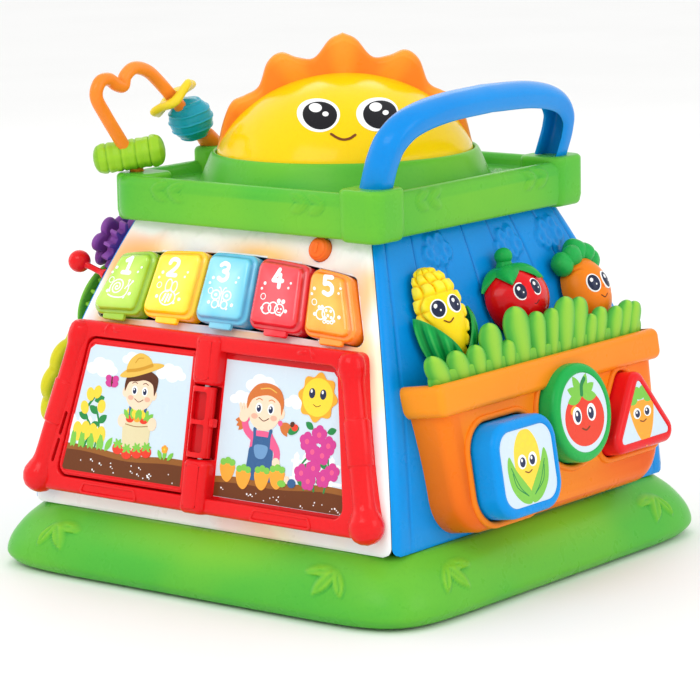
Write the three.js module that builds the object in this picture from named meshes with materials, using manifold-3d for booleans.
// Baby activity cube: a four-sided garden play centre with a pressable sun on top,
// piano keys and a turning page at the front, vegetable buttons at the right, a gear train
// at the left and a bead wire on the deck. Millimetres, +Z up, floor at z = 0.
// The front faces -Y, the planter side +X and the gear side -X.
import * as THREE from 'three';
import { mergeVertices } from 'three/addons/utils/BufferGeometryUtils.js';
import Module from 'manifold-3d';

const wasm = await Module();
wasm.setup();

// ---- driving dimensions ----
const GAP = 0.3;                 // clearance between pieces that meet
const WALL = 3;                  // moulded wall thickness

const BASE_TOP = 42;             // height of the shelf that the panels stand on
const BASE_POWER = 9;            // exponent of the base's bowed square outline
const BASE_SECTIONS = [[0, 167], [2.5, 173], [9, 177], [19, 174.5], [30, 167.5], [39, 158.5], [42, 154.5]];

const FOOT_HALF = 152;           // panel half-width at the shelf
const CROWN_HALF = 101.7;        // panel half-width under the deck
const PANEL_TOP = 226.8;
const PANEL_BULGE = 39.7;        // how far the panels bow outwards
const PANEL_SKEW = 5.8;          // moves the bow towards the foot
const CORNER = 9;                // rounding of the upright corners

const DECK_HALF = 112.6;
const DECK_BOTTOM = 229;
const DECK_TOP = 258;
const DECK_FLOOR = 250;          // floor of the recess inside the raised lip
const DECK_CORNER = 22;
const POST_AT = 97;              // corner posts, from the centre in x and y
const POST_RADIUS = 17;

const COLLAR_TOP = 270;
const BORE = 85.5;               // bore that the dome rides in
const DOME_RADIUS = 84.6;
const DOME_TOP = 320;
const DOME_CENTRE = 250;
const DOME_BULGE = 88.2;         // equator of the dome's ellipsoid
const SUN_FACING = 40;           // degrees from the front towards the planter side
const CREST_THICK = 9;

const HANDLE_X = 98;
const HANDLE_LEAN = 0.33;        // outward shift for each millimetre of height
const HANDLE_WIDTH = 19;
const HANDLE_DEPTH = 15;

const WIRE_X = -104;             // plane of the bead wire
const WIRE_RADIUS = 4.4;
const BEAD_BORE = 5.3;

const KEY_TILT = 22.2;           // degrees that each face leans back
const BOOK_TILT = 11.6;
const PLANTER_TILT = 9;
const FIGURE_TILT = 20.3;
const GEAR_TILT = 17.3;

const KEY_HEIGHT = 11;           // key top above the panel
const KEY_TRAVEL = 3;
const KEY_GAP = 1.2;
const KEY_FOOT_EDGES = [22.6, 68, 113];
const KEY_HEAD_EDGES = [20.5, 62.5, 95];

const PAGE_AXIS = 9.5;           // hinge height above the book's plane
const PAGE_THICK = 5;
const BOOK_FLOOR = 6.2;

const MODULE = 2.8;              // gear module
const TEETH = { yellow: 26, green: 18, purple: 12 };
const AXLE = 3;

// ---- solids ----
function solid(geometry) {
  const plain = geometry.clone();
  plain.deleteAttribute('normal');
  plain.deleteAttribute('uv');
  const merged = mergeVertices(plain, 1e-3);
  return new wasm.Manifold(new wasm.Mesh({
    numProp: 3,
    vertProperties: new Float32Array(merged.attributes.position.array),
    triVerts: new Uint32Array(merged.index.array),
  }));
}

function geometryOf(body) {
  const mesh = body.getMesh();
  const geometry = new THREE.BufferGeometry();
  geometry.setAttribute('position', new THREE.BufferAttribute(new Float32Array(mesh.vertProperties), 3));
  geometry.setIndex(new THREE.BufferAttribute(new Uint32Array(mesh.triVerts), 1));
  geometry.computeVertexNormals();
  return geometry;
}

function placed(geometry, x, y, z) {
  return solid(geometry.translate(x, y, z));
}

function box(low, high) {
  const size = high.map((value, i) => value - low[i]);
  const centre = high.map((value, i) => (value + low[i]) / 2);
  return placed(new THREE.BoxGeometry(...size), ...centre);
}

// Upright cylinder, or one along the direction given.
function rod(radius, from, to, sides = 16) {
  const start = new THREE.Vector3(...from);
  const end = new THREE.Vector3(...to);
  const geometry = new THREE.CylinderGeometry(radius, radius, start.distanceTo(end), sides);
  const turn = new THREE.Quaternion().setFromUnitVectors(
    new THREE.Vector3(0, 1, 0), end.clone().sub(start).normalize());
  geometry.applyQuaternion(turn);
  return placed(geometry, ...start.clone().add(end).multiplyScalar(0.5).toArray());
}

function ellipsoid(radii, centre, across = 14, down = 8) {
  const geometry = new THREE.SphereGeometry(1, across, down);
  geometry.scale(...radii);
  return placed(geometry, ...centre);
}

function prism(points, bottom, top) {
  const shape = new THREE.Shape(points.map(([x, y]) => new THREE.Vector2(x, y)));
  const geometry = new THREE.ExtrudeGeometry(shape, { depth: top - bottom, bevelEnabled: false });
  return placed(geometry, 0, 0, bottom);
}

// A solid of revolution about Z; the profile starts and ends on the axis or closes on itself.
function turned(profile, segments = 36) {
  const points = profile.map(([radius, height]) => new THREE.Vector2(radius, height));
  const geometry = new THREE.LatheGeometry(points, segments);
  geometry.rotateX(Math.PI / 2);
  return solid(geometry);
}

// Closed skin through rings of equal length, each counter-clockwise seen from the last one.
function loft(rings) {
  const count = rings[0].length;
  const positions = rings.flat().flatMap((point) => point);
  const faces = [];
  for (let level = 0; level + 1 < rings.length; level += 1) {
    for (let i = 0; i < count; i += 1) {
      const a = level * count + i;
      const b = level * count + ((i + 1) % count);
      faces.push(a, b, b + count, a, b + count, a + count);
    }
  }
  const flat = rings[0].map((point, i) => flattened(rings[0], i));
  const cap = THREE.ShapeUtils.triangulateShape(flat, []);
  const last = (rings.length - 1) * count;
  for (const [a, b, c] of cap) {
    faces.push(a, c, b, last + a, last + b, last + c);
  }
  const geometry = new THREE.BufferGeometry();
  geometry.setAttribute('position', new THREE.Float32BufferAttribute(positions, 3));
  geometry.setIndex(faces);
  return solid(geometry);
}

// A ring's points in its own plane, for filling its end cap.
function flattened(ring, i) {
  const at = (k) => new THREE.Vector3(...ring[k % ring.length]);
  const normal = new THREE.Vector3();
  for (let k = 0; k < ring.length; k += 1) {
    normal.add(at(k).cross(at(k + 1)));
  }
  normal.normalize();
  const helper = Math.abs(normal.z) > 0.9 ? new THREE.Vector3(1, 0, 0) : new THREE.Vector3(0, 0, 1);
  const across = helper.cross(normal).normalize();
  const up = normal.clone().cross(across);
  return new THREE.Vector2(at(i).dot(across), at(i).dot(up));
}

// ---- outlines ----
function roundedSquare(half, radius, z, steps = 4) {
  const ring = [];
  for (let corner = 0; corner < 4; corner += 1) {
    const turn = corner * Math.PI / 2;
    const sx = [1, -1, -1, 1][corner];
    const sy = [1, 1, -1, -1][corner];
    for (let i = 0; i <= steps; i += 1) {
      const angle = turn + (i / steps) * Math.PI / 2;
      ring.push([
        sx * (half - radius) + radius * Math.cos(angle),
        sy * (half - radius) + radius * Math.sin(angle), z]);
    }
  }
  return ring;
}

function bowedSquare(half, z, count = 44) {
  const bend = (value) => Math.sign(value) * Math.abs(value) ** (2 / BASE_POWER);
  return Array.from({ length: count }, (_, i) => {
    const angle = ((i + 0.5) / count) * 2 * Math.PI;
    return [half * bend(Math.cos(angle)), half * bend(Math.sin(angle)), z];
  });
}

// Corners of a convex outline after each side moves in by inset; counter-clockwise.
function movedIn(corners, inset) {
  const side = (i) => {
    const [x, y] = corners[i];
    const [nx, ny] = corners[(i + 1) % corners.length];
    const length = Math.hypot(nx - x, ny - y);
    const normal = [-(ny - y) / length, (nx - x) / length];
    return { normal, reach: normal[0] * x + normal[1] * y + inset };
  };
  return corners.map((_, i) => {
    const a = side((i + corners.length - 1) % corners.length);
    const b = side(i);
    const cross = a.normal[0] * b.normal[1] - a.normal[1] * b.normal[0];
    return [(a.reach * b.normal[1] - b.reach * a.normal[1]) / cross,
      (b.reach * a.normal[0] - a.reach * b.normal[0]) / cross];
  });
}

// Arcs of one radius about the corners given, so the outline stands off them by the radius.
function roundedOutline(corners, radius, steps = 4) {
  const outline = [];
  corners.forEach(([x, y], i) => {
    const [px, py] = corners[(i + corners.length - 1) % corners.length];
    const [nx, ny] = corners[(i + 1) % corners.length];
    const before = Math.atan2(y - py, x - px) - Math.PI / 2;
    let after = Math.atan2(ny - y, nx - x) - Math.PI / 2;
    while (after < before) after += 2 * Math.PI;
    for (let k = 0; k <= steps; k += 1) {
      const angle = before + (after - before) * (k / steps);
      outline.push([x + radius * Math.cos(angle), y + radius * Math.sin(angle)]);
    }
  });
  return outline;
}

// The outline moved in by inset, with its corners rounded.
function softened(corners, inset, radius, steps = 4) {
  return roundedOutline(movedIn(corners, inset + radius), radius, steps);
}

function circle(radius, count, [cx, cy] = [0, 0]) {
  return Array.from({ length: count }, (_, i) => {
    const angle = (i / count) * 2 * Math.PI;
    return [cx + radius * Math.cos(angle), cy + radius * Math.sin(angle)];
  });
}

// ---- the bowed body that the panels are cut from ----
function panelHalf(z) {
  const t = (z - BASE_TOP) / (PANEL_TOP - BASE_TOP);
  return FOOT_HALF - (FOOT_HALF - CROWN_HALF) * t + PANEL_BULGE * t * (1 - t)
    + PANEL_SKEW * t * (1 - t) * (1 - 2 * t);
}

const PANEL_LEVELS = Array.from({ length: 8 }, (_, i) =>
  BASE_TOP + GAP + (i / 7) * (DECK_BOTTOM - BASE_TOP - 2 * GAP));

function bodySolid(offset) {
  return loft(PANEL_LEVELS.map((z) => roundedSquare(panelHalf(z) + offset, CORNER, z, 3)));
}

// Region beyond the body's profile, moved in by depth, on the +X side or across the front.
function profileRegion(depth, side) {
  const edge = PANEL_LEVELS.map((z) => [panelHalf(z) - depth, z]);
  const first = edge[0];
  const last = edge[edge.length - 1];
  edge[0] = [first[0], first[1] - 5];
  edge[edge.length - 1] = [last[0], last[1] + 5];
  const far = side === 'beyond' ? 260 : 0;
  const outline = [...edge, [far, last[1] + 5], [far, first[1] - 5]];
  const region = prism(side === 'beyond' ? outline.reverse() : outline, -260, 260);
  return region.rotate([90, 0, 0]);
}

const body = bodySolid(0);
const beyondSide = profileRegion(WALL - 0.2, 'beyond');
const withinRight = profileRegion(WALL + 0.4, 'within');
const within = withinRight.add(withinRight.rotate([0, 0, 180]));

const rightBlank = body.intersect(beyondSide);
const leftBlank = rightBlank.rotate([0, 0, 180]);
const backBlank = body.intersect(profileRegion(WALL, 'beyond').rotate([0, 0, 90])).intersect(within);
const frontBlank = backBlank.rotate([0, 0, 180]);
const bodyClearance = bodySolid(GAP);

// ---- scene graph ----
const cube = new THREE.Group();
cube.name = 'activity_cube';

function tilted(side, tiltDegrees, origin) {
  const tilt = THREE.MathUtils.degToRad(tiltDegrees);
  const outward = new THREE.Vector3(Math.cos(side), Math.sin(side), 0);
  const up = outward.clone().multiplyScalar(-Math.sin(tilt)).setZ(Math.cos(tilt));
  const normal = outward.multiplyScalar(Math.cos(tilt)).setZ(Math.sin(tilt));
  const across = up.clone().cross(normal);
  const group = new THREE.Group();
  group.applyMatrix4(new THREE.Matrix4().makeBasis(across, up, normal).setPosition(...origin));
  group.updateMatrix();
  cube.add(group);
  return group;
}

// A solid given in the cube's frame, seen from a tilted group.
function seenFrom(group, whole) {
  return whole.transform(group.matrix.clone().invert().toArray());
}

function add(parent, name, shape, colour, roughness = 0.4, metalness = 0) {
  const material = new THREE.MeshStandardMaterial({ color: colour, roughness, metalness });
  const mesh = new THREE.Mesh(geometryOf(shape), material);
  mesh.name = name;
  parent.add(mesh);
}

const FRONT = -Math.PI / 2;
const RIGHT = 0;
const LEFT = Math.PI;
const BACK = Math.PI / 2;

const keyboard = tilted(FRONT, KEY_TILT, [0, -panelHalf(190), 190]);
const book = tilted(FRONT, BOOK_TILT, [0, -150.5, 60]);
const planter = tilted(RIGHT, PLANTER_TILT, [170, 0, 95]);
const garden = tilted(RIGHT, FIGURE_TILT, [panelHalf(180), 0, 180]);
const gears = tilted(LEFT, GEAR_TILT, [-panelHalf(163), -80, 163]);
const switchPlate = tilted(BACK, 8, [0, panelHalf(70), 70]);

const GREEN = 0x57bb46;
const BLUE = 0x0a93dc;
const WHITE = 0xf3f3f1;
const RED = 0xe31b23;
const ORANGE = 0xf58220;
const YELLOW = 0xffe014;
const DARK = 0x2b2b2e;

// ---- base ----
const PLATE_HALF = 160;
const PLATE_THICK = 3;
const PAD_RADIUS = 12;
const PAD_AT = 128;
const DOOR = { x: 38, y: 33 };
const SPEAKER_AT = [82, 78];

function baseTray() {
  const outer = loft(BASE_SECTIONS.map(([z, half]) => bowedSquare(half, z)));
  const inner = loft([[-1, 161], [12, 166], [24, 163], [BASE_TOP - 4, 150]]
    .map(([z, half]) => bowedSquare(half, z, 28)));
  const hatch = loft([[BASE_TOP - 6, 118], [BASE_TOP + 1, 118]]
    .map(([z, half]) => roundedSquare(half, 20, z)));
  return outer.subtract(inner).subtract(hatch);
}

function bottomPlate() {
  let plate = loft([0, PLATE_THICK].map((z) => bowedSquare(PLATE_HALF, z, 28)));
  plate = plate.subtract(box([-DOOR.x - 0.4, -DOOR.y - 0.4, -1], [DOOR.x + 0.4, DOOR.y + 0.4, 5]));
  for (const [sx, sy] of [[1, 1], [-1, 1], [-1, -1], [1, -1]]) {
    const centre = [sx * PAD_AT, sy * PAD_AT];
    plate = plate.subtract(prism(circle(PAD_RADIUS + 0.4, 16, centre), -1, 2.1));
  }
  for (const offset of [-16, -8, 0, 8, 16]) {
    const [x, y] = SPEAKER_AT;
    plate = plate.subtract(box([x + offset - 1.5, y - 18, -1], [x + offset + 1.5, y + 18, 5]));
  }
  return plate;
}

add(cube, 'base_tray', baseTray(), GREEN, 0.38);
const plateSolid = bottomPlate();
// The origin lies on the battery door, so the door is the middle of the underside.
add(cube, 'base_bottom_plate', plateSolid, 0x4aa83f, 0.5);
[[1, 1], [-1, 1], [-1, -1], [1, -1]].forEach(([sx, sy], i) => {
  const pad = prism(circle(PAD_RADIUS, 16, [sx * PAD_AT, sy * PAD_AT]), 0, 1.8);
  add(cube, `grip_pad_${i + 1}`, pad, DARK, 0.9);
});

// ---- battery compartment ----
const SCREW_X = 34;
const CELL_RADIUS = 7.2;
const CELL_HALF = 25;

function batteryDoor() {
  const door = box([-DOOR.x, -DOOR.y, 0], [DOOR.x, DOOR.y, 2.6]);
  return door.subtract(rod(3.4, [SCREW_X, 0, -1], [SCREW_X, 0, 4], 14));
}

function batteryBox() {
  const outer = box([-30, -33, PLATE_THICK + GAP], [40, 33, 21]);
  const inner = box([-27.5, -30, PLATE_THICK - 1], [27.5, 30, 19]);
  const pilot = rod(1.9, [SCREW_X, 0, PLATE_THICK - 1], [SCREW_X, 0, 14], 12);
  return outer.subtract(inner).subtract(pilot);
}

add(cube, 'battery_door', batteryDoor(), 0x4aa83f, 0.5);
add(cube, 'battery_box', batteryBox(), 0xe8e8e4, 0.5);
const screw = rod(3, [SCREW_X, 0, 0.3], [SCREW_X, 0, 2.6], 14)
  .add(rod(1.5, [SCREW_X, 0, 2], [SCREW_X, 0, 11], 12));
add(cube, 'battery_door_screw', screw, 0xb8bcc0, 0.3, 1);
[-17, 0, 17].forEach((x, i) => {
  const centre = [x, 11];
  const cell = rod(CELL_RADIUS, [centre[0], -CELL_HALF, centre[1]], [centre[0], CELL_HALF, centre[1]], 16)
    .add(rod(2.6, [centre[0], CELL_HALF - 1, centre[1]], [centre[0], CELL_HALF + 1.5, centre[1]], 12));
  add(cube, `battery_${i + 1}`, cell, 0x30343a, 0.35, 0.4);
});

// ---- sound and control parts inside ----
const speaker = turned([[0, 4], [28, 4], [28, 8], [15, 17], [15, 23], [0, 23]], 18)
  .translate([...SPEAKER_AT, 0]);
add(cube, 'speaker', speaker, DARK, 0.6);
const mainBoard = box([-118, 45, 9], [-38, 100, 10.6])
  .subtract(rod(1.7, [-112, 51, 5], [-112, 51, 15], 10))
  .subtract(rod(1.7, [-44, 94, 5], [-44, 94, 15], 10));
add(cube, 'main_circuit_board', mainBoard, 0x2e7d3a, 0.5);

// ---- front panel with the keyboard ----
const keyFoot = (x) => -23 - 3 * (x / 113) ** 2;
const keyHead = (x) => 24.5 - 5.5 * (x / 84) ** 2;

// Corners of the space one key stands in, seen from the front.
function keyCorners(index) {
  const edge = (edges, k) => (k < 3 ? -edges[2 - k] : edges[k - 3]);
  const foot = [edge(KEY_FOOT_EDGES, index), edge(KEY_FOOT_EDGES, index + 1)];
  const head = [edge(KEY_HEAD_EDGES, index), edge(KEY_HEAD_EDGES, index + 1)];
  return [[foot[0], keyFoot(foot[0])], [foot[1], keyFoot(foot[1])],
    [head[1], keyHead(head[1])], [head[0], keyHead(head[0])]];
}

const KEY_ROUND = 5;
const KEY_DEPTH = 5;             // how far a key reaches behind the panel's face

function pianoKey(index) {
  const corners = keyCorners(index);
  const skirt = prism(softened(corners, KEY_GAP / 2, KEY_ROUND), -KEY_DEPTH, KEY_HEIGHT - 4);
  const cap = prism(softened(corners, KEY_GAP / 2 + 1.2, KEY_ROUND), KEY_HEIGHT - 4.5, KEY_HEIGHT);
  return skirt.add(cap);
}

// One window behind all five keys.
function keyWindow() {
  const margin = 0.8;
  const both = (edges) => [...edges.map((x) => -x).reverse(), ...edges];
  const foot = both(KEY_FOOT_EDGES.with(2, KEY_FOOT_EDGES[2] + margin)).map((x) => [x, keyFoot(x) - margin]);
  const head = both(KEY_HEAD_EDGES.with(2, KEY_HEAD_EDGES[2] + margin)).map((x) => [x, keyHead(x) + margin]);
  return prism([...foot, ...head.reverse()], -14, 14);
}

const MODE_AT = [62.5, 33];
const MODE_RADIUS = 7.6;

const frontPanel = seenFrom(keyboard, frontBlank)
  .subtract(keyWindow())
  .subtract(prism(circle(MODE_RADIUS + 0.7, 20, MODE_AT), -14, 14));
add(keyboard, 'front_panel', frontPanel, WHITE, 0.4);

const KEY_COLOURS = [0x9ad13c, 0xffd51e, 0x55c3e8, 0xe8232b, 0xf98f1d];
KEY_COLOURS.forEach((colour, i) => {
  add(keyboard, `piano_key_${i + 1}`, pianoKey(i), colour, 0.2);
});
const modeButton = prism(circle(MODE_RADIUS, 20, MODE_AT), -7, 3.4)
  .add(prism(circle(MODE_RADIUS - 1.4, 20, MODE_AT), 3, 5));
add(keyboard, 'mode_button', modeButton, 0xf07a1c, 0.3);
const keyBoard = box([-84, -19, -KEY_DEPTH - KEY_TRAVEL - 2.2], [84, 15, -KEY_DEPTH - KEY_TRAVEL - 0.6]);
add(keyboard, 'key_contact_board', keyBoard, 0x2e7d3a, 0.5);

// ---- book with one turning page ----
const BOOK = { footHalf: 146, headHalf: 117, bottom: -8, top: 106 };
const PAGE = { footHalf: 119, headHalf: 102, bottom: 3.5, top: 94.5 };
const SPINE_HALF = 11;
const BARREL = 6;
const KNUCKLES = { low: 27, high: 73 };   // the page's knuckle lies between these heights
const PIN = 1.8;

function trapezoid({ footHalf, headHalf, bottom, top }, grow = 0) {
  return [[-footHalf - grow, bottom - grow], [footHalf + grow, bottom - grow],
    [headHalf + grow, top + grow], [-headHalf - grow, top + grow]];
}

function bookFrame() {
  const lip = 12.5;
  let frame = prism(softened(trapezoid(BOOK), 0, 6), -6, lip);
  frame = frame.subtract(prism(trapezoid(PAGE, 1.2), BOOK_FLOOR, 30));
  for (const side of [-1, 1]) {
    const foot = BOOK.footHalf - 9.5;
    const head = BOOK.headHalf - 6;
    const pillar = rod(7, [side * foot, BOOK.bottom + 8, 8.5], [side * head, BOOK.top - 4, 8.5], 14);
    const bulb = ellipsoid([11, 11, 11], [side * foot, BOOK.bottom + 9, 8], 14, 8);
    frame = frame.add(pillar).add(bulb);
  }
  for (const [low, high] of [[BOOK.bottom, KNUCKLES.low - 0.5], [KNUCKLES.high + 0.5, BOOK.top - 1]]) {
    frame = frame.add(box([-SPINE_HALF, low, 3], [SPINE_HALF, high, 13]))
      .add(rod(BARREL + 1, [0, low, PAGE_AXIS], [0, high, PAGE_AXIS], 16));
  }
  frame = frame.subtract(rod(BARREL + 0.8, [0, KNUCKLES.low - 0.5, PAGE_AXIS],
    [0, KNUCKLES.high + 0.5, PAGE_AXIS], 16));
  frame = frame.subtract(rod(PIN + GAP, [0, BOOK.bottom - 2, PAGE_AXIS], [0, BOOK.top + 2, PAGE_AXIS], 12));
  for (const side of [-1, 1]) {
    frame = frame.subtract(box([side * 72 - 24, BOOK.bottom - 1, 8], [side * 72 + 24, PAGE.bottom - 1, 20]));
  }
  return frame.subtract(seenFrom(book, bodyClearance));
}

function bookPage() {
  const low = PAGE_AXIS - PAGE_THICK / 2;
  const high = PAGE_AXIS + PAGE_THICK / 2;
  const outline = [[-PAGE.footHalf, PAGE.bottom], [-SPINE_HALF - 1, PAGE.bottom],
    [-SPINE_HALF - 1, PAGE.top], [-PAGE.headHalf, PAGE.top]];
  let page = prism(softened(outline, 0, 3), low, high);
  page = page.add(box([-SPINE_HALF - 3, KNUCKLES.low, low], [0, KNUCKLES.high, high]));
  page = page.add(rod(BARREL, [0, KNUCKLES.low, PAGE_AXIS], [0, KNUCKLES.high, PAGE_AXIS], 16));
  return page.subtract(rod(PIN + GAP, [0, 0, PAGE_AXIS], [0, 100, PAGE_AXIS], 12));
}

add(book, 'book_frame', bookFrame(), RED, 0.35);
add(book, 'book_page', bookPage(), RED, 0.35);
const hingePin = rod(PIN, [0, BOOK.bottom + 1, PAGE_AXIS], [0, BOOK.top - 3, PAGE_AXIS], 12);
add(book, 'page_hinge_pin', hingePin, 0xc9ccd0, 0.3, 1);

// ---- right panel: planter, grass, vegetables and their buttons ----
const PLANTER = { footHalf: 111, headHalf: 119, bottom: -45.5, corner: 28, rimLow: 32, rimTop: 52, rimHalf: 122 };
const FLANGE = 3;
const FLANGE_LIP = 1.5;

const SQUARE = { name: 'square_button', front: 19, colour: 0x1290dc,
  corners: [[-78, -21.5], [-46, -21.5], [-46, 3.5], [-78, 3.5]], round: 18 };
const ROUND = { name: 'round_button', front: 14, colour: 0x1e9e48, corners: [[11.5, 12.5]], round: 32 };
const TRIANGLE = { name: 'triangle_button', front: 15, colour: RED,
  corners: [[50.5, -13], [99, -13], [74.7, 20]], round: 9 };
const BUTTONS = [SQUARE, ROUND, TRIANGLE];

function buttonOutline({ corners, round }, grow = 0) {
  if (corners.length === 1) {
    return circle(round + grow, 24, corners[0]);
  }
  return roundedOutline(corners, round + grow, 4);
}

function planterBox() {
  const { footHalf, headHalf, bottom } = PLANTER;
  const top = PLANTER.rimTop + 20;
  const corners = [[-footHalf, bottom], [footHalf, bottom], [headHalf, top], [-headHalf, top]];
  const belowRim = box([-200, -100, -44], [200, PLANTER.rimLow + 2, 0]);
  const shell = prism(softened(corners, 0, PLANTER.corner, 6), -44, 0).intersect(belowRim);
  const rim = box([-PLANTER.rimHalf, PLANTER.rimLow, -44], [PLANTER.rimHalf, PLANTER.rimTop, 4.5]);
  const trough = box([-PLANTER.rimHalf + 5, PLANTER.rimLow + 3, -60],
    [PLANTER.rimHalf - 5, PLANTER.rimTop + 5, 0.5]);
  const cavity = prism(softened(corners, WALL, PLANTER.corner - WALL, 6), -60, -WALL);
  let planterShell = shell.add(rim).subtract(trough).subtract(cavity);
  for (const button of BUTTONS) {
    planterShell = planterShell.subtract(prism(buttonOutline(button, 0.8), -10, 10));
  }
  return planterShell.subtract(seenFrom(planter, bodyClearance));
}

function shapeButton(button) {
  const stem = prism(buttonOutline(button), -8, button.front - 4);
  const crown = prism(buttonOutline(button, -2), button.front - 4.5, button.front);
  const flange = prism(buttonOutline(button, FLANGE_LIP), -WALL - GAP - FLANGE, -WALL - GAP);
  return stem.add(crown).add(flange);
}

add(planter, 'planter_box', planterBox(), ORANGE, 0.4);
BUTTONS.forEach((button) => add(planter, button.name, shapeButton(button), button.colour, 0.3));

const GRASS = { left: -111, right: 111, back: 153.5, front: 160, foot: 126, notchFoot: 143 };

// Eleven overlapping blades, highest left of the middle, with a notch below for the round button.
function grassStrip() {
  const [buttonY] = ROUND.corners[0];
  const notch = ROUND.round + 3;
  const outline = [[GRASS.left, GRASS.foot], [buttonY - notch, GRASS.foot], [buttonY - notch, GRASS.notchFoot],
    [buttonY + notch, GRASS.notchFoot], [buttonY + notch, GRASS.foot], [GRASS.right, GRASS.foot]];
  const blades = 11;
  for (let i = blades - 1; i >= 0; i -= 1) {
    const centre = GRASS.left + ((i + 0.5) / blades) * (GRASS.right - GRASS.left);
    const tip = 166 + 13 * Math.exp(-(((centre + 12) / 52) ** 2));
    outline.push([centre + 9, tip - 14], [centre + 4, tip - 2], [centre - 4, tip], [centre - 9, tip - 12]);
  }
  return prism(outline, 0, GRASS.front - GRASS.back).rotate([90, 0, 90]).translate([GRASS.back, 0, 0]);
}

add(cube, 'grass_strip', grassStrip(), 0x8bc53f, 0.4);

// The vegetables stand just off the panel and slide up it when their buttons are pressed.
const STAND_OFF = 3.2;
const STALK = { half: 9, foot: -48, thick: 3.5 };

function figure(pieces, x) {
  const front = box([x - 60, -80, STAND_OFF], [x + 60, 80, 60]);
  const stalk = box([x - STALK.half, STALK.foot, STAND_OFF], [x + STALK.half, 0, STAND_OFF + STALK.thick]);
  const lumps = pieces.map(([radii, centre]) => ellipsoid(radii, [x + centre[0], centre[1], centre[2]], 12, 8));
  return wasm.Manifold.union([...lumps, stalk]).intersect(front);
}

const corn = figure([[[17, 33, 20], [0, -4, 4]], [[21, 20, 16], [1, -14, 4]]], -72);
const tomato = figure([[[24, 22.5, 21], [0, 0, 4]], [[5, 9, 5], [0, 24, 8]]], 6);
const carrot = figure([[[18, 25, 19], [0, -10, 4]], [[18, 9, 13], [0, 16, 7]]], 84);
add(garden, 'corn_figure', corn, 0xf9dc2a, 0.35);
add(garden, 'tomato_figure', tomato, RED, 0.3);
add(garden, 'carrot_figure', carrot, ORANGE, 0.35);
add(cube, 'right_panel', rightBlank, BLUE, 0.4);

// ---- left panel and its gear train ----
const PITCH = Object.fromEntries(Object.entries(TEETH).map(([name, teeth]) => [name, teeth * MODULE / 2]));
const YELLOW_AT = placeAlong([0, 0], -99, PITCH.green + PITCH.yellow);
const PURPLE_AT = placeAlong([0, 0], 86, PITCH.green + PITCH.purple);

function placeAlong([x, y], degrees, distance) {
  const angle = THREE.MathUtils.degToRad(degrees);
  return [x + distance * Math.cos(angle), y + distance * Math.sin(angle)];
}

// Phase of a gear's teeth that puts one of its gaps on the mate's tooth.
function meshedPhase(matePhase, mateTeeth, teeth, degrees) {
  const towards = THREE.MathUtils.degToRad(degrees);
  const matePitch = (mateTeeth * (towards - matePhase)) / (2 * Math.PI);
  return towards + Math.PI - ((2 * Math.PI) / teeth) * (0.5 - matePitch);
}

function gearOutline(teeth, phase, [cx, cy]) {
  const pitchRadius = teeth * MODULE / 2;
  const step = (2 * Math.PI) / teeth;
  const outline = [];
  for (let i = 0; i < teeth; i += 1) {
    for (const [share, height] of [[-0.27, -1.05], [-0.11, 0.8], [0.11, 0.8], [0.27, -1.05]]) {
      const angle = phase + (i + share) * step;
      const radius = pitchRadius + height * MODULE;
      outline.push([cx + radius * Math.cos(angle), cy + radius * Math.sin(angle)]);
    }
  }
  return outline;
}

function scalloped(radius, depth, lobes, count, [cx, cy]) {
  return Array.from({ length: count }, (_, i) => {
    const angle = (i / count) * 2 * Math.PI;
    const reach = radius + depth * Math.cos(lobes * angle);
    return [cx + reach * Math.cos(angle), cy + reach * Math.sin(angle)];
  });
}

const GEAR_LOW = 6;
const GEAR_HIGH = 12;
const greenPhase = 0.1;
const yellowPhase = meshedPhase(greenPhase, TEETH.green, TEETH.yellow, -99);
const purplePhase = meshedPhase(greenPhase, TEETH.green, TEETH.purple, 86);

function bored(wheel, [x, y]) {
  return wheel.subtract(rod(AXLE + GAP, [x, y, -5], [x, y, 60], 16));
}

const yellowGear = prism(gearOutline(TEETH.yellow, yellowPhase, YELLOW_AT), GEAR_LOW, GEAR_HIGH)
  .add(prism(circle(16, 20, YELLOW_AT), GEAR_HIGH - 0.5, 19))
  .add(prism(scalloped(46.5, 3, 12, 48, YELLOW_AT), 18.5, 30));
const greenGear = prism(gearOutline(TEETH.green, greenPhase, [0, 0]), GEAR_LOW, GEAR_HIGH)
  .add(prism(circle(16, 20), GEAR_HIGH - 0.5, 14))
  .add(prism(circle(30, 24), GEAR_HIGH + 0.8, 16.5))
  .add(prism(circle(6, 16), 16, 32));
const purpleGear = prism(gearOutline(TEETH.purple, purplePhase, PURPLE_AT), GEAR_LOW, GEAR_HIGH)
  .add(prism(circle(8, 16, PURPLE_AT), GEAR_HIGH - 0.5, 18))
  .add(prism(scalloped(16.5, 3, 6, 24, PURPLE_AT), 17.5, 24));
add(gears, 'yellow_gear_wheel', bored(yellowGear, YELLOW_AT), 0xe2d41e, 0.4);
add(gears, 'green_gear_disc', bored(greenGear, [0, 0]), 0x6abf4b, 0.4);
add(gears, 'purple_flower_gear', bored(purpleGear, PURPLE_AT), 0x7f3f98, 0.4);

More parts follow.
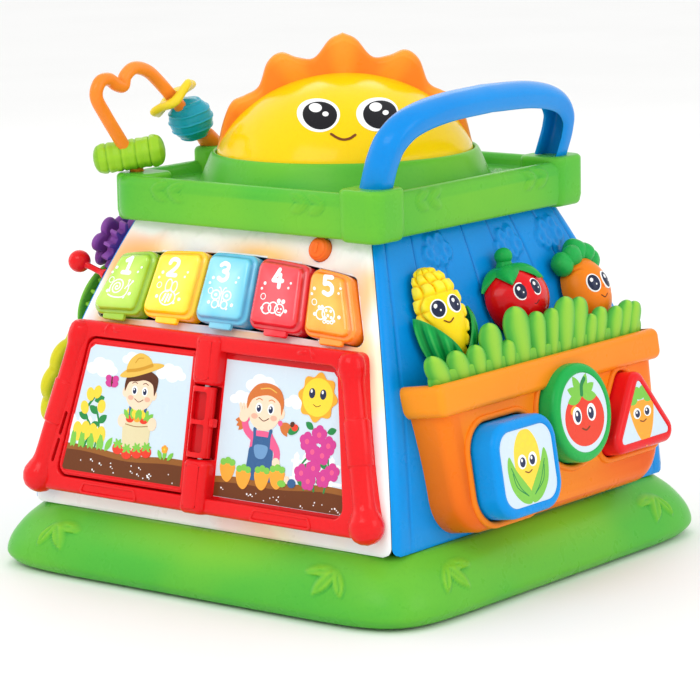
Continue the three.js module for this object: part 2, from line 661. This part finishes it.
const AXLES = [['yellow', YELLOW_AT, 29], ['green', [0, 0], 31], ['purple', PURPLE_AT, 23]];
let leftPanel = seenFrom(gears, leftBlank);
for (const [name, [x, y], reach] of AXLES) {
  leftPanel = leftPanel.subtract(rod(AXLE + GAP, [x, y, -30], [x, y, 30], 16));
  const axle = rod(AXLE, [x, y, -14], [x, y, reach], 16);
  add(gears, `${name}_gear_axle`, axle, 0xc9ccd0, 0.3, 1);
}
const BALL_AT = [27.5, 28.5];
const BALL_RADIUS = 7.6;
leftPanel = leftPanel.subtract(rod(2.3, [...BALL_AT, -30], [...BALL_AT, 30], 12));
const redKnob = ellipsoid([BALL_RADIUS, BALL_RADIUS, BALL_RADIUS], [...BALL_AT, 24], 10, 6)
  .add(rod(2, [...BALL_AT, -8], [...BALL_AT, 20], 12));
add(gears, 'red_ball_knob', redKnob, RED, 0.3);
add(gears, 'left_panel', leftPanel, BLUE, 0.4);

// ---- back panel with the power switch ----
const backPanel = seenFrom(switchPlate, backBlank)
  .subtract(box([-10.5, -4.5, -12], [10.5, 4.5, 12]));
add(switchPlate, 'back_panel', backPanel, WHITE, 0.4);
const slider = box([-5, -3.6, -6], [5, 3.6, 3]).add(box([-17, -7, -7.5], [17, 7, -5.5]));
add(switchPlate, 'power_switch', slider, RED, 0.4);

// ---- deck ----
const WIRE_BOSS = [WIRE_X, -14, 268];

function topDeck() {
  const square = (half, corner, z) => roundedSquare(half, corner, z, 4);
  let deck = loft([square(DECK_HALF - 1.5, DECK_CORNER - 1, DECK_BOTTOM),
    square(DECK_HALF, DECK_CORNER, DECK_BOTTOM + 3), square(DECK_HALF, DECK_CORNER, DECK_TOP - 5),
    square(DECK_HALF - 1.5, DECK_CORNER - 1, DECK_TOP - 1.5), square(DECK_HALF - 4, DECK_CORNER - 3, DECK_TOP)]);
  deck = deck.subtract(loft([square(DECK_HALF - 12, 14, DECK_FLOOR), square(DECK_HALF - 10, 16, DECK_TOP + 1)]));
  for (const [sx, sy] of [[1, -1], [1, 1]]) {
    deck = deck.add(prism(circle(POST_RADIUS, 16, [sx * POST_AT, sy * POST_AT]), DECK_BOTTOM + 2, DECK_TOP + 3));
  }
  deck = deck.add(prism(circle(15, 20, [-POST_AT, -POST_AT + 6]), DECK_BOTTOM + 2, DECK_TOP));
  deck = deck.add(box([-DECK_HALF + 0.6, WIRE_BOSS[1] - 14, DECK_FLOOR - 2],
    [-DECK_HALF + 20, WIRE_BOSS[1] + 14, WIRE_BOSS[2] - 0.4]));
  deck = deck.add(turned([[0, DECK_BOTTOM], [97, DECK_BOTTOM], [97, DECK_FLOOR + 2], [93, 259], [89.5, 266],
    [87.4, COLLAR_TOP], [0, COLLAR_TOP]], 40));
  deck = deck.subtract(turned([[0, 232], [BORE, 232], [BORE, 280], [0, 280]], 40));
  const underside = loft([square(DECK_HALF - 16, 10, DECK_BOTTOM - 1), square(DECK_HALF - 16, 10, 232),
    square(DECK_HALF - 4.6, 18, 232.2), square(DECK_HALF - 4.6, 18, 246)]);
  const core = turned([[0, DECK_BOTTOM - 2], [90, DECK_BOTTOM - 2], [90, 250], [0, 250]], 24);
  return deck.subtract(underside.subtract(core));
}

add(cube, 'top_deck', topDeck(), GREEN, 0.38);

// ---- sun ----
function domeRadius(z) {
  return DOME_BULGE * Math.sqrt(Math.max(0, 1 - ((z - DOME_CENTRE) / (DOME_TOP - DOME_CENTRE)) ** 2));
}

function domeProfile(offset) {
  const steps = 6;
  const start = Math.asin((COLLAR_TOP - DOME_CENTRE) / (DOME_TOP - DOME_CENTRE));
  return Array.from({ length: steps + 1 }, (_, i) => {
    const angle = start + (i / steps) * (Math.PI / 2 - start);
    return [(DOME_BULGE + offset) * Math.cos(angle),
      DOME_CENTRE + (DOME_TOP - DOME_CENTRE + offset) * Math.sin(angle)];
  });
}

const SKIRT_FOOT = 240;
const SPRING_FOOT = 232.3;
const SPRING_TOP = 261.7;

function sunDome() {
  const outer = domeProfile(0);
  outer[outer.length - 1][0] = 0;
  const inner = domeProfile(-2.6).slice(0, -1).reverse();
  const post = [[8, inner[0][1]], [8, SPRING_TOP + GAP], [0, SPRING_TOP + GAP]];
  const rim = domeRadius(COLLAR_TOP);
  const section = [...post.reverse(), ...inner, [rim - 2.6, SKIRT_FOOT], [rim, SKIRT_FOOT], ...outer];
  return turned(section, 40);
}

function sunRays() {
  const reach = (degrees) => {
    const lobe = 78 + 6 * Math.cos(THREE.MathUtils.degToRad(12 * degrees));
    return Math.abs(degrees) > 60 ? 85 : lobe;
  };
  const centreZ = 262;
  const outline = [];
  for (let degrees = -82; degrees <= 82; degrees += 4) {
    const angle = THREE.MathUtils.degToRad(degrees);
    outline.push([-reach(degrees) * Math.sin(angle), centreZ + reach(degrees) * Math.cos(angle)]);
  }
  outline.unshift([80, 271]);
  outline.push([-80, 271]);
  const domeBlank = turned([[0, 240], [DOME_RADIUS + 0.4, 240], ...domeProfile(GAP).slice(0, -1),
    [0, DOME_TOP + GAP]], 40);
  return prism(outline, -CREST_THICK / 2, CREST_THICK / 2).rotate([90, 0, SUN_FACING]).subtract(domeBlank);
}

// Compression spring: five turns of round wire about the dome's axis.
function domeSpring() {
  const turns = 5;
  const radius = 8;
  const wire = 1.1;
  const low = SPRING_FOOT + wire;
  const high = SPRING_TOP - wire;
  const points = Array.from({ length: turns * 8 + 1 }, (_, i) => {
    const angle = (i / 8) * 2 * Math.PI;
    return new THREE.Vector3(radius * Math.cos(angle), radius * Math.sin(angle),
      low + (i / (turns * 8)) * (high - low));
  });
  const section = new THREE.Shape(circle(wire, 4).map(([x, y]) => new THREE.Vector2(x, y)));
  const path = new THREE.CatmullRomCurve3(points);
  return solid(new THREE.ExtrudeGeometry(section, { steps: turns * 8, extrudePath: path, bevelEnabled: false }));
}

add(cube, 'sun_dome', sunDome(), YELLOW, 0.25);
add(cube, 'sun_rays', sunRays(), 0xf7941d, 0.3);
add(cube, 'dome_spring', domeSpring(), 0xb8bcc0, 0.3, 1);
const lampBoard = turned([[14, 233], [60, 233], [60, 234.6], [14, 234.6], [14, 233]], 32);
add(cube, 'sun_lamp_board', lampBoard, 0x2e7d3a, 0.5);

// ---- carry handle: a leaning arch of channel section, open towards the hand ----
const ARCH = [[-96, 261.5], [-96.8, 276], [-92, 291], [-77, 301.5], [-46, 307.5], [0, 309.5],
  [46, 307.5], [77, 301.5], [92, 291], [96.8, 276], [96, 261.5]];

function carryHandle() {
  const lean = (z) => HANDLE_X + HANDLE_LEAN * (z - DECK_TOP);
  const path = new THREE.CatmullRomCurve3(ARCH.map(([y, z]) => new THREE.Vector3(lean(z), y, z)));
  const planeNormal = new THREE.Vector3(1, 0, -HANDLE_LEAN).normalize();
  const w = HANDLE_WIDTH / 2;
  const d = HANDLE_DEPTH / 2;
  const section = [[-w, -d], [-w + 2, -d], [-w + 3, d - 3.5], [w - 3, d - 3.5], [w - 2, -d], [w, -d],
    [w, d - 4], [w - 3, d], [-w + 3, d], [-w, d - 4]];
  const steps = 22;
  const rings = Array.from({ length: steps + 1 }, (_, i) => {
    const centre = path.getPointAt(i / steps);
    const tangent = path.getTangentAt(i / steps);
    const outward = tangent.clone().cross(planeNormal).normalize().negate();
    return section.map(([across, out]) => centre.clone()
      .addScaledVector(planeNormal, across).addScaledVector(outward, out).toArray()).reverse();
  });
  const feet = box([60, -130, DECK_TOP + 3 + GAP], [140, 130, 400]);
  return loft(rings).intersect(feet);
}

add(cube, 'carry_handle', carryHandle(), BLUE, 0.35);

// ---- bead wire and beads ----
const HEART = [[-87, 256.8], [-104, 278.5], [-119, 298], [-127, 310.5], [-123.5, 319.5], [-115, 321],
  [-107.5, 316.8], [-101, 315.5], [-98.5, 321.5], [-90, 326], [-78, 323.5], [-66, 315.2], [-40, 292],
  [-13.5, 268.3]];

function beadWire() {
  const path = new THREE.CatmullRomCurve3(HEART.map(([y, z]) => new THREE.Vector3(WIRE_X, y, z)));
  const section = new THREE.Shape(circle(WIRE_RADIUS, 7).map(([x, y]) => new THREE.Vector2(x, y)));
  const wire = solid(new THREE.ExtrudeGeometry(section, { steps: 44, extrudePath: path, bevelEnabled: false }));
  const aboveFoot = box([-130, -140, DECK_TOP + GAP], [-60, -60, 400]);
  const aboveBoss = box([-130, -60.5, WIRE_BOSS[2]], [-60, 20, 400]);
  return wire.intersect(aboveFoot.add(aboveBoss));
}

const FOOT_LEG = new THREE.Vector3(0, -0.617, 0.787);
const LONG_LEG = new THREE.Vector3(0, -0.745, 0.667);
const SEGMENT_BEAD_AT = new THREE.Vector3(WIRE_X, -97, 269.8);
const BALL_BEAD_AT = new THREE.Vector3(WIRE_X, -34.6, 287.2);
const DISC_BEAD_AT = new THREE.Vector3(WIRE_X, -50.3, 301.3);

function threaded(bead, centre, along) {
  const start = centre.clone().addScaledVector(along, -40).toArray();
  const end = centre.clone().addScaledVector(along, 40).toArray();
  return bead.subtract(rod(BEAD_BORE, start, end, 12));
}

function segmentBead() {
  const lie = new THREE.Vector3(0.78, 0.62, 0);
  const segments = [-1.5, -0.5, 0.5, 1.5].map((k) => {
    const centre = SEGMENT_BEAD_AT.clone().addScaledVector(lie, k * 9.5);
    return ellipsoid([9.6, 9.6, 10.6], centre.toArray(), 10, 6);
  });
  return threaded(wasm.Manifold.union(segments), SEGMENT_BEAD_AT, FOOT_LEG);
}

function wavyDisc() {
  const turn = new THREE.Quaternion().setFromUnitVectors(new THREE.Vector3(0, 0, 1), LONG_LEG);
  const shape = new THREE.Shape(scalloped(17.5, 2.5, 6, 24, [0, 0]).map(([x, y]) => new THREE.Vector2(x, y)));
  const disc = new THREE.ExtrudeGeometry(shape, { depth: 6, bevelEnabled: false });
  disc.translate(0, 0, -3).applyQuaternion(turn);
  return threaded(placed(disc, ...DISC_BEAD_AT.toArray()), DISC_BEAD_AT, LONG_LEG);
}

add(cube, 'bead_wire', beadWire(), ORANGE, 0.35);
add(cube, 'segment_bead', segmentBead(), 0x9ccc3c, 0.4);
const ball = ellipsoid([15.5, 15.5, 15.5], BALL_BEAD_AT.toArray(), 14, 8);
add(cube, 'ball_bead', threaded(ball, BALL_BEAD_AT, LONG_LEG), 0x1b9aaa, 0.35);
add(cube, 'wavy_disc_bead', wavyDisc(), 0xf2d51c, 0.35);

export default cube;
